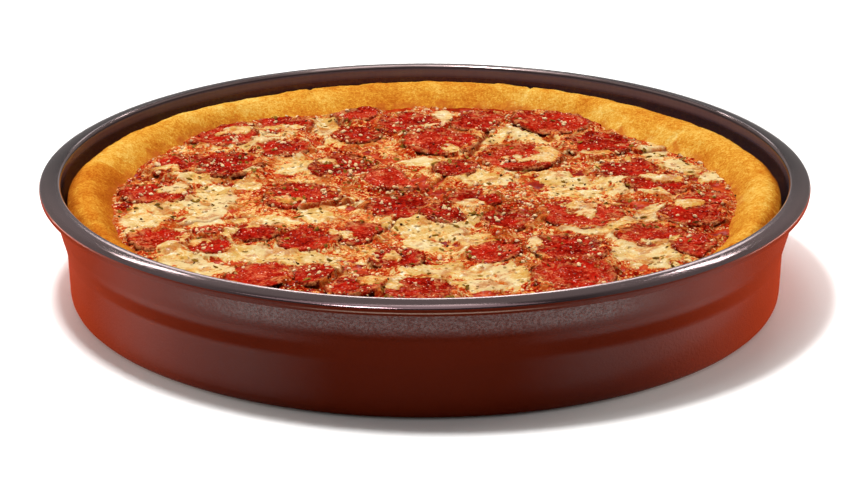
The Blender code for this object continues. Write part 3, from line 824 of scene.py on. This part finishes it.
def cheese_layer(x, y):
    """Height of the cheese, height of the slices under it, and its looks at each place."""
    radius, azimuth = np.hypot(x, y), np.degrees(np.arctan2(y, x)) % 360.0
    top, share, lean = slices_at(x, y)
    on_slice = share < 1.0
    cream, melt, run, scraps, fray = cheese_cover(x, y, share)
    shreds = lumps(x, y, 4.2 * MM, 44)
    small = lumps(x + 0.8 * MM * hills(x, y, 5 * MM, 46, 1), y, 2.1 * MM, 45)
    over = np.maximum(run, 0.9 * scraps * ease((share - 0.5) / 0.35))
    level = np.maximum(TOPPING_LEVEL - 0.7 * MM, np.minimum(lean - 0.9 * MM, TOPPING_LEVEL + 2.4 * MM))
    z = level + (0.9 * cream + (0.4 + 0.2 * cream) * hills(x, y, 8 * MM, 47)) * MM
    z = z + (0.5 * shreds + 0.3 * small) * (1 - 0.7 * cream) * MM
    z = z - 1.3 * MM * (1 - cream) * ease((hills(x, y, 9 * MM, 48) - 0.3) / 0.3)
    # Beside a slice it sinks to the slice's edge, or banks up where it runs over.
    rest = lean + (1.3 * np.maximum(over, 0.5 * cream) - 0.45 + 0.3 * hills(x, y, 6 * MM, 51, 2)) * MM
    rest = np.minimum(rest, level + 2.3 * MM)
    low = np.minimum(z, rest)
    beside_slice = np.where(on_slice, 0.0, ease((1.3 - share) / 0.3))
    z = z + beside_slice * (low + ease((over - 0.15) / 0.5) * (rest - low) - z)
    seam, crest = cut_relief(x, y, radius, azimuth)
    z = z - 1.3 * MM * seam + 0.5 * MM * crest
    # It lies over a slice where it has run, and hides under it elsewhere.
    z_run = top + (over - 0.5) * 1.3 * MM + 0.25 * MM * small * over
    z = np.where(on_slice, np.where(over > 0.15, z_run, np.minimum(z, top - 0.9 * MM)), z)
    z = up_the_crust(z, (0.35 + 0.5 * cream + 0.3 * small) * MM, radius, azimuth)
    spread = np.maximum(cream, 0.45 * melt) + 0.5 * crest
    greasy = ease((1.16 - share + 0.12 * fray) / 0.16)
    looks = {
        "cream": np.where(on_slice, np.maximum(0.8 * run, 0.35 * scraps), spread),
        "red": ease((inside_patches(x, y, RED_PATCHES) + fray + 0.15) / 0.5),
        "oil": greasy * np.where(on_slice, 1 - 0.8 * over, 1 - 0.6 * cream),
        "toast": ease((hills(x, y, 5.5 * MM, 50) + 0.25 * shreds - 0.5) / 0.3),
        "seam": seam,
    }
    return z, top, looks


def steepness(x, y, z):
    """1 on a net's steep sides and 0 elsewhere."""
    slope = np.zeros_like(z)
    for axis in (0, 1):
        run = np.hypot(np.gradient(x, axis=axis), np.gradient(y, axis=axis))
        slope = np.hypot(slope, np.gradient(z, axis=axis) / np.maximum(run, 0.1 * MM))
    return ease((slope - 0.75) / 0.7)


def make_cheese():
    """The whole sheet of cheese as one body over the sauce."""
    share, angle = disc_net(CHEESE_NET)
    smear = 9 * MM * np.exp(-((np.degrees(angle) - SMEAR_AZIMUTH) / 13.0) ** 2)
    reach = share * well_reach(angle, 1.6 * MM + smear)
    x, y = reach * np.cos(angle), reach * np.sin(angle)
    z, _, looks = cheese_layer(x, y)
    steep = steepness(x, y, z)
    # Painted shade: the sheet's steep sides, where it drops beside the slices, take the seam's dark red and
    # lose their cream.
    looks["seam"] = np.maximum(looks["seam"], 0.6 * steep)
    looks["cream"] = looks["cream"] * (1 - 0.75 * steep)
    z = z - 0.9 * MM * ease((share - 0.985) / 0.015)
    return net_mesh("melted_cheese", x, y, z, np.minimum(z - THINNEST_CHEESE, SAUCE_SIDE), **looks)


def melted_mozzarella():
    """Cream to yellow cheese, stained orange by oil and sauce, toasted brown in spots, dark red in the
    cuts, with painted shade on steep sides.
    """
    melt = Recipe("melted_mozzarella")
    coarse = melt.noise(0.0056, 5.0, 0.66, 0.8)
    fine = melt.noise(0.001, 3.0, 0.7, 0.3)
    specks = melt.noise(0.0022, 3.0, 0.6, 1.0)
    flecks = melt.lift(melt.noise(0.0026, 2.0, 0.6, 1.2, (1.0, 1.0, 0.4)), 0.55, 0.62)
    # Painted shade: dark red specks that stand in for shaded crevices.
    crevice_shade = melt.lift(melt.noise(0.0031, 3.0, 0.6, 0.8), 0.45, 0.37)
    thick = melt.lift(melt.mark("cream") + 0.8 * (coarse - 0.5) + 0.6 * (fine - 0.5), 0.12, 0.88)
    grain = 0.95 * (coarse - 0.5) + (0.8 - 0.35 * thick) * (fine - 0.5) + 0.6 * (specks - 0.5)
    grain = grain + (0.3 - 0.2 * thick) * flecks - (0.2 - 0.04 * thick) * crevice_shade
    colour = melt.ramp(
        0.39 + 0.37 * thick - 0.2 * melt.mark("red") + grain, food,
        (0.0, 96, 5, 1), (0.16, 148, 20, 5), (0.33, 196, 42, 12), (0.44, 214, 88, 34),
        (0.53, 226, 144, 74), (0.64, 232, 182, 104), (0.8, 232, 200, 134), (0.92, 243, 221, 174),
        (1.0, 255, 246, 216),
    )
    shred = melt.spots(0.0017, 0.35, 0.2) * (1 - thick)
    colour = melt.blend(0.8 * shred, colour, food(236, 198, 130))
    tan = melt.lift(melt.noise(0.0065, 4.0, 0.66), 0.47, 0.6) * thick
    colour = melt.stain(0.7 * tan, colour, fine, (176, 110, 28), (232, 184, 80))
    milky = melt.lift(melt.noise(0.02, 3.0, 0.55), 0.5, 0.62) * melt.lift(thick, 0.6, 0.95)
    colour = melt.stain(0.6 * milky, colour, fine, (227, 199, 136), (243, 228, 186))
    oil = melt.mark("oil") * melt.lift(coarse, 0.35, 0.6)
    colour = melt.stain(0.6 * oil, colour, fine, (164, 28, 8), (214, 96, 34))
    bits = melt.spots(0.0029, 0.34, 0.2) * melt.lift(melt.noise(0.012, 3.0), 0.46, 0.54)
    colour = melt.stain(0.8 * bits, colour, fine, (84, 52, 14), (164, 112, 40))
    glint = melt.spots(0.0024, 0.17, 0.1) * melt.lift(melt.noise(0.005), 0.46, 0.56)
    colour = melt.blend(0.8 * glint, colour, rgb(250, 226, 196))
    toast = melt.mark("toast") * melt.lift(fine, 0.3, 0.55)
    colour = melt.blend(0.7 * toast, colour, food(186, 96, 34))
    # Dark red in the cut seams, and painted shade on the steep sides.
    colour = melt.stain(0.85 * melt.mark("seam"), colour, fine, (70, 5, 1), (158, 36, 12))
    wet = melt.lift(melt.noise(0.0022), 0.57, 0.65)
    height = (0.55 * coarse + 0.45 * fine) * (1 - 0.55 * thick)
    return melt.finish(
        colour, 0.46 - 0.16 * wet, height, 0.0014,
        Coat_Weight=0.35 * wet, Coat_Roughness=0.12,
    )


place_piece(make_cheese(), melted_mozzarella(), "cheese", "cheese")


# --------------------
# The last sprinkling: grated hard cheese, dried herbs and coarse pepper, strewn by hand over the
# toppings after baking.  Each kind is scattered by one tree over the topping's upper side.

BED_NET = 240


def make_bed():
    """The visible upper side of the toppings, used only to strew things on."""
    share, angle = disc_net(BED_NET)
    reach = share * well_reach(angle, 5 * MM)
    x, y = reach * np.cos(angle), reach * np.sin(angle)
    z, top, looks = cheese_layer(x, y)
    places = np.stack([x, y, np.maximum(z, top + 0.3 * MM)], -1).reshape(-1, 3)
    within = ease((well_reach(angle, 1.5 * MM) - reach) / (5 * MM))
    cream = looks["cream"]
    drift = within * ease((hills(x, y, 18 * MM, 71) + 0.4) / 0.9) * (1 - 0.75 * ease(cream / 0.7))
    herbs = within * (0.04 + ease((hills(x, y, 11 * MM, 72) - 0.2) / 0.3)) * (0.7 + 0.4 * cream)
    faces = net_faces(np.arange(x.size).reshape(x.shape))
    return marked_mesh("bed", places, faces, drift=drift, herbs=herbs)


def make_crumb(name, seed, *size):
    """One small irregular crumb."""
    mesh = bpy.data.meshes.new(name)
    build = bmesh.new()
    bmesh.ops.create_icosphere(build, subdivisions=1, radius=0.5)
    shape = np.random.default_rng(seed)
    for corner in build.verts:
        corner.co *= shape.uniform(0.75, 1.15)
        corner.co = [part * (across * MM) for part, across in zip(corner.co, size)]
    build.to_mesh(mesh)
    build.free()
    return put(name, mesh)


# What the tree asks for besides a bed.  Drift names the bed's mark that says where crumbs fall.
STREWING = (
    ("Crumb", "Object"), ("Drift", "String"), ("Per square metre", "Float"), ("Smallest", "Float"),
    ("Largest", "Float"), ("Tilt", "Float"), ("Lift", "Float"), ("Seed", "Int"), ("Finish", "Material"),
)


def strewing_tree():
    """A tree that strews one kind of crumb over a bed, each turned and sized at random."""
    group = bpy.data.node_groups.new("strewing", "GeometryNodeTree")
    for label, kind in (("Bed", "Geometry"), *STREWING):
        group.interface.new_socket(label, in_out="INPUT", socket_type="NodeSocket" + kind)
    group.interface.new_socket("Strewn", in_out="OUTPUT", socket_type="NodeSocketGeometry")
    add = Tree(group).add
    given = add("NodeGroupInput").other
    seed, tilt = given("Seed"), given("Tilt")
    drift = add("GeometryNodeInputNamedAttribute", {"data_type": "FLOAT"}, {"Name": given("Drift")})
    sockets = {"Mesh": given("Bed"), "Density": drift * given("Per square metre"), "Seed": seed}
    points = add("GeometryNodeDistributePointsOnFaces", {"distribute_method": "RANDOM"}, sockets)
    sockets = {2: given("Smallest"), 3: given("Largest"), "Seed": seed}
    size = add("FunctionNodeRandomValue", {"data_type": "FLOAT"}, sockets, output=1)
    low = add("ShaderNodeCombineXYZ", {}, {"X": -1.0 * tilt, "Y": -1.0 * tilt})
    high = add("ShaderNodeCombineXYZ", {}, {"X": tilt, "Y": tilt, "Z": math.tau})
    spin = add("FunctionNodeRandomValue", {"data_type": "FLOAT_VECTOR"}, {0: low, 1: high, "Seed": seed})
    sockets = {0: points.other("Rotation"), 1: add("FunctionNodeEulerToRotation", {}, {0: spin})}
    lie = add("FunctionNodeRotateRotation", {"rotation_space": "LOCAL"}, sockets)
    sockets = {"Object": given("Crumb")}
    crumb = add("GeometryNodeObjectInfo", {"transform_space": "ORIGINAL"}, sockets, "Geometry")
    sockets = {"Points": points, "Instance": crumb, "Rotation": lie, "Scale": size}
    strewn = add("GeometryNodeInstanceOnPoints", {}, sockets)
    up = add("ShaderNodeCombineXYZ", {}, {"Z": given("Lift")})
    sockets = {"Instances": strewn, "Translation": up, "Local Space": True}
    lifted = add("GeometryNodeTranslateInstances", {}, sockets)
    real = add("GeometryNodeRealizeInstances", {}, {"Geometry": lifted})
    dressed = add("GeometryNodeSetMaterial", {}, {"Geometry": real, "Material": given("Finish")})
    add("NodeGroupOutput", {}, {0: dressed})
    return group


def strew(name, bed, tree, slot, values):
    """Strew one kind of crumb and keep it as one plain mesh."""
    holder = put(name + "_holder", bed)
    modifier = holder.modifiers.new("strew", "NODES")
    modifier.node_group = tree
    sockets = {item.name: item.identifier for item in tree.interface.items_tree}
    for (label, _), value in zip(STREWING, values):
        modifier[sockets[label]] = value
    bpy.context.view_layer.update()
    shown = holder.evaluated_get(bpy.context.evaluated_depsgraph_get())
    mesh = bpy.data.meshes.new_from_object(shown)
    mesh.name = name
    bpy.data.objects.remove(holder)
    place_piece(mesh, values[-1], slot)


def grated_cheese():
    """Dry hard cheese: near white with a warm cast."""
    grain = Recipe("grated_hard_cheese")
    tint = grain.noise(0.006)
    fine = grain.noise(0.0006)
    colour = grain.blend(tint, food(244, 196, 128), food(253, 228, 186))
    return grain.finish(colour, 0.42 + 0.1 * fine, fine, 0.0002)


def dried_herb():
    """Dark olive to brown-green leaf."""
    leaf = Recipe("dried_herb")
    tint = leaf.noise(0.004)
    fine = leaf.noise(0.0007)
    colour = leaf.ramp(
        0.7 * tint + 0.3 * fine, rgb, (0.32, 58, 34, 10), (0.5, 112, 78, 24), (0.68, 158, 122, 48)
    )
    return leaf.finish(colour, 0.6 + 0.1 * fine, fine, 0.0003)


def cracked_pepper():
    """Almost black peppercorn shards with a few pale insides."""
    shard = Recipe("cracked_pepper")
    tint = shard.noise(0.003)
    colour = shard.ramp(tint, rgb, (0.35, 40, 20, 10), (0.6, 84, 48, 24), (0.72, 150, 108, 66))
    return shard.finish(colour, 0.55 + 0.1 * tint, tint, 0.0002)


# Each crumb: the seed of its shape, its length, width and thickness (mm).
CRUMBS = {"grain": (7, 1.7, 1.3, 1.0), "leaf": (8, 3.4, 1.6, 0.5), "shard": (9, 1.5, 1.3, 0.9)}
# Each kind: its name and slot, then what the tree asks for.
SPRINKLINGS = (
    ("grated_cheese", "cheese", "grain", "drift", 44000.0, 0.3, 1.3, 0.8, 0.1 * MM, 3, grated_cheese),
    ("cheese_crumbs", "cheese", "grain", "drift", 9000.0, 1.0, 1.8, 0.6, 0.2 * MM, 5, grated_cheese),
    ("dried_herbs", "herbs", "leaf", "herbs", 27000.0, 0.35, 1.25, 0.35, 0.2 * MM, 11, dried_herb),
    ("cracked_pepper", "herbs", "shard", "herbs", 9000.0, 0.4, 1.2, 1.2, 0.1 * MM, 23, cracked_pepper),
)

bed = make_bed()
tree = strewing_tree()
crumbs = {kind: make_crumb(kind + "_shape", *shape) for kind, shape in CRUMBS.items()}
for name, slot, kind, *values, finish in SPRINKLINGS:
    strew(name, bed, tree, slot, (crumbs[kind], *values, finish()))
for crumb in crumbs.values():
    bpy.data.objects.remove(crumb)


# --------------------
# The room: a white paper sweep, a key light high on the left and a wide soft light overhead, three
# cards behind that streak the flange, and two low strips that warm the pan's wall.

FLOOR_HALF = 4.0
FLOOR_DROP = 0.0002  # the paper lies this much below the pan's foot
WARM = (1.0, 0.9, 0.82)
# Each light: place, height of its aim over the middle, width and height (m), power, colour if not white.
LIGHTS = (
    ("key", (-0.27, -0.12, 1.6), 0.0, 0.22, 0.22, 23.0),
    ("overhead", (-0.08, 0.15, 1.5), 0.0, 0.9, 0.9, 10.0),
    ("back_card", (0.0, 1.5, 0.86), 0.04, 0.9, 0.16, 2.0),
    ("back_left", (-0.54, 1.11, 1.04), 0.04, 0.3, 0.03, 1.3),
    ("back_right", (0.55, 1.1, 1.04), 0.04, 0.26, 0.04, 1.6),
    ("strip_left", (-0.8, 0.35, 0.013), 0.013, 0.4, 0.022, 42.0, WARM),
    ("strip_right", (0.8, 0.35, 0.013), 0.013, 0.4, 0.022, 42.0, WARM),
)


def make_floor():
    """A plain white sweep under the pan."""
    sides = ((-1, -1), (1, -1), (1, 1), (-1, 1))
    corners = [(x * FLOOR_HALF, y * FLOOR_HALF, -FLOOR_DROP) for x, y in sides]
    mesh = marked_mesh("floor", corners, [(0, 1, 2, 3)])
    mesh.materials.append(Recipe("white_paper").finish(rgb(253, 253, 252), 0.9, Specular_IOR_Level=0.5))
    put("floor", mesh)


def make_light(name, place, aim, width, height, power, colour=(1.0, 1.0, 1.0)):
    """A soft rectangular light turned to its aim."""
    lamp = bpy.data.lights.new(name, "AREA")
    lamp.shape = "RECTANGLE"
    lamp.size = width
    lamp.size_y = height
    lamp.energy = power
    lamp.color = colour
    light = put(name, lamp)
    light.location = place
    light.rotation_euler = (Vector((0.0, 0.0, aim)) - Vector(place)).to_track_quat("-Z", "Y").to_euler()
    light.visible_camera = False


make_floor()
for light in LIGHTS:
    make_light(*light)

world = bpy.data.worlds.new("studio")
world.use_nodes = True
background = world.node_tree.nodes["Background"]
background.inputs["Color"].default_value = (1.0, 0.98, 0.97, 1.0)
background.inputs["Strength"].default_value = 0.32
bpy.context.scene.world = world
bpy.context.scene.view_settings.view_transform = "Standard"

lens = bpy.data.cameras.new("camera")
lens.lens = 135.5
lens.sensor_width = 36.0
camera = put("camera", lens)
camera.location = (0.0022, -1.32, 0.4919)
camera.rotation_euler = (math.radians(70.25), 0.0, 0.0)
bpy.context.scene.camera = camera
